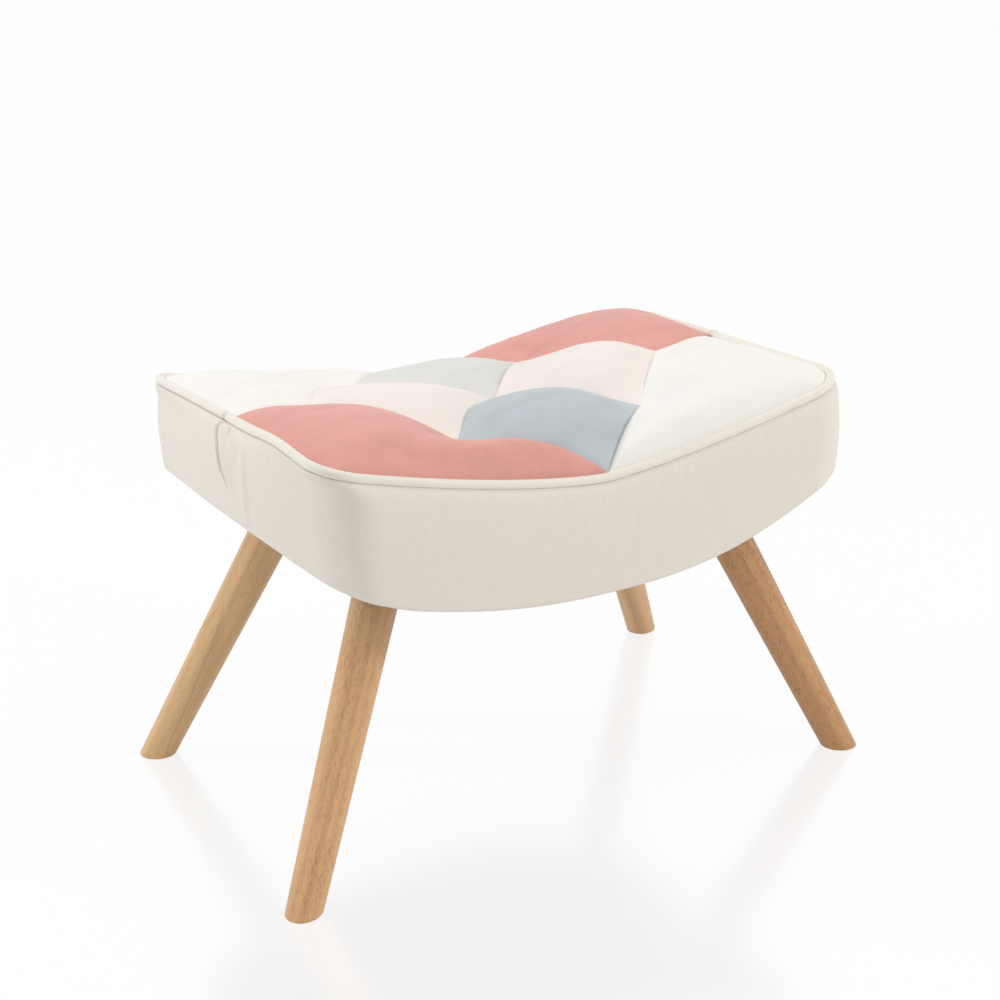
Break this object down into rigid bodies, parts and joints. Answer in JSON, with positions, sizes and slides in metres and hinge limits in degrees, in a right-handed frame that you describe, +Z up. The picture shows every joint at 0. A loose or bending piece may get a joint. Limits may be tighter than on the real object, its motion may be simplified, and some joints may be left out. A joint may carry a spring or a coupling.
{
  "type": "footstool",
  "caption": "Footstool with a saddle-shaped, tufted patchwork cushion edged with piping, a deep curved side band and splayed round wooden legs.",
  "frame": {"origin": "on the floor under the middle of the seat", "axes": "+X along the seat's length, +Y across it away from the near long side, +Z up"},
  "size_m": [0.65, 0.396, 0.4177],
  "materials": {
    "leg_wood": "turned rubberwood under a clear satin lacquer, fine dark pores along the leg",
    "frame_timber": "sawn softwood, bare",
    "deck_ply": "thin plywood, bare",
    "plate_steel": "pressed steel, zinc plated",
    "bolt_steel": "zinc plated steel",
    "screw_steel": "yellow passivated steel",
    "washer_plastic": "black plastic",
    "twine": "twisted upholstery twine",
    "foam": "open-cell seat foam",
    "wadding": "polyester fibre wadding",
    "dust_cloth": "black spun-bonded dust cloth",
    "linen": "linen-look weave, matt",
    "piping_cloth": "linen-look weave over a cord, matt",
    "pink_velvet": "short-pile velvet, soft sheen",
    "white_velvet": "short-pile velvet, soft sheen",
    "blush_velvet": "short-pile velvet, soft sheen",
    "slate_velvet": "short-pile velvet, soft sheen",
    "grey_velvet": "short-pile velvet, soft sheen"
  },
  "bodies": {
    "root": {"leg_near_left": "leg_wood", "leg_near_right": "leg_wood", "leg_far_left": "leg_wood", "leg_far_right": "leg_wood", "plate_near_left": "plate_steel", "plate_near_right": "plate_steel", "plate_far_left": "plate_steel", "plate_far_right": "plate_steel", "hanger_bolts": "bolt_steel", "plate_screws": "bolt_steel", "rail_near": "frame_timber", "rail_far": "frame_timber", "end_rail_left": "frame_timber", "end_rail_right": "frame_timber", "cross_rail_left": "frame_timber", "cross_rail_right": "frame_timber", "block_near_left": "frame_timber", "block_near_right": "frame_timber", "block_far_left": "frame_timber", "block_far_right": "frame_timber", "frame_screws": "screw_steel", "deck_board": "deck_ply", "dust_cover": "dust_cloth", "foam_core": "foam", "wadding": "wadding", "tuft_ties": "twine", "tie_washers": "washer_plastic", "boxing_near": "linen", "boxing_far": "linen", "piping_near": "piping_cloth", "piping_far": "piping_cloth", "panel_near_left": "pink_velvet", "panel_near_right": "white_velvet", "panel_far_left": "white_velvet", "panel_far_right": "pink_velvet", "diamond_left": "blush_velvet", "diamond_right": "blush_velvet", "diamond_near": "slate_velvet", "diamond_far": "grey_velvet"}
  },
  "joints": []
}
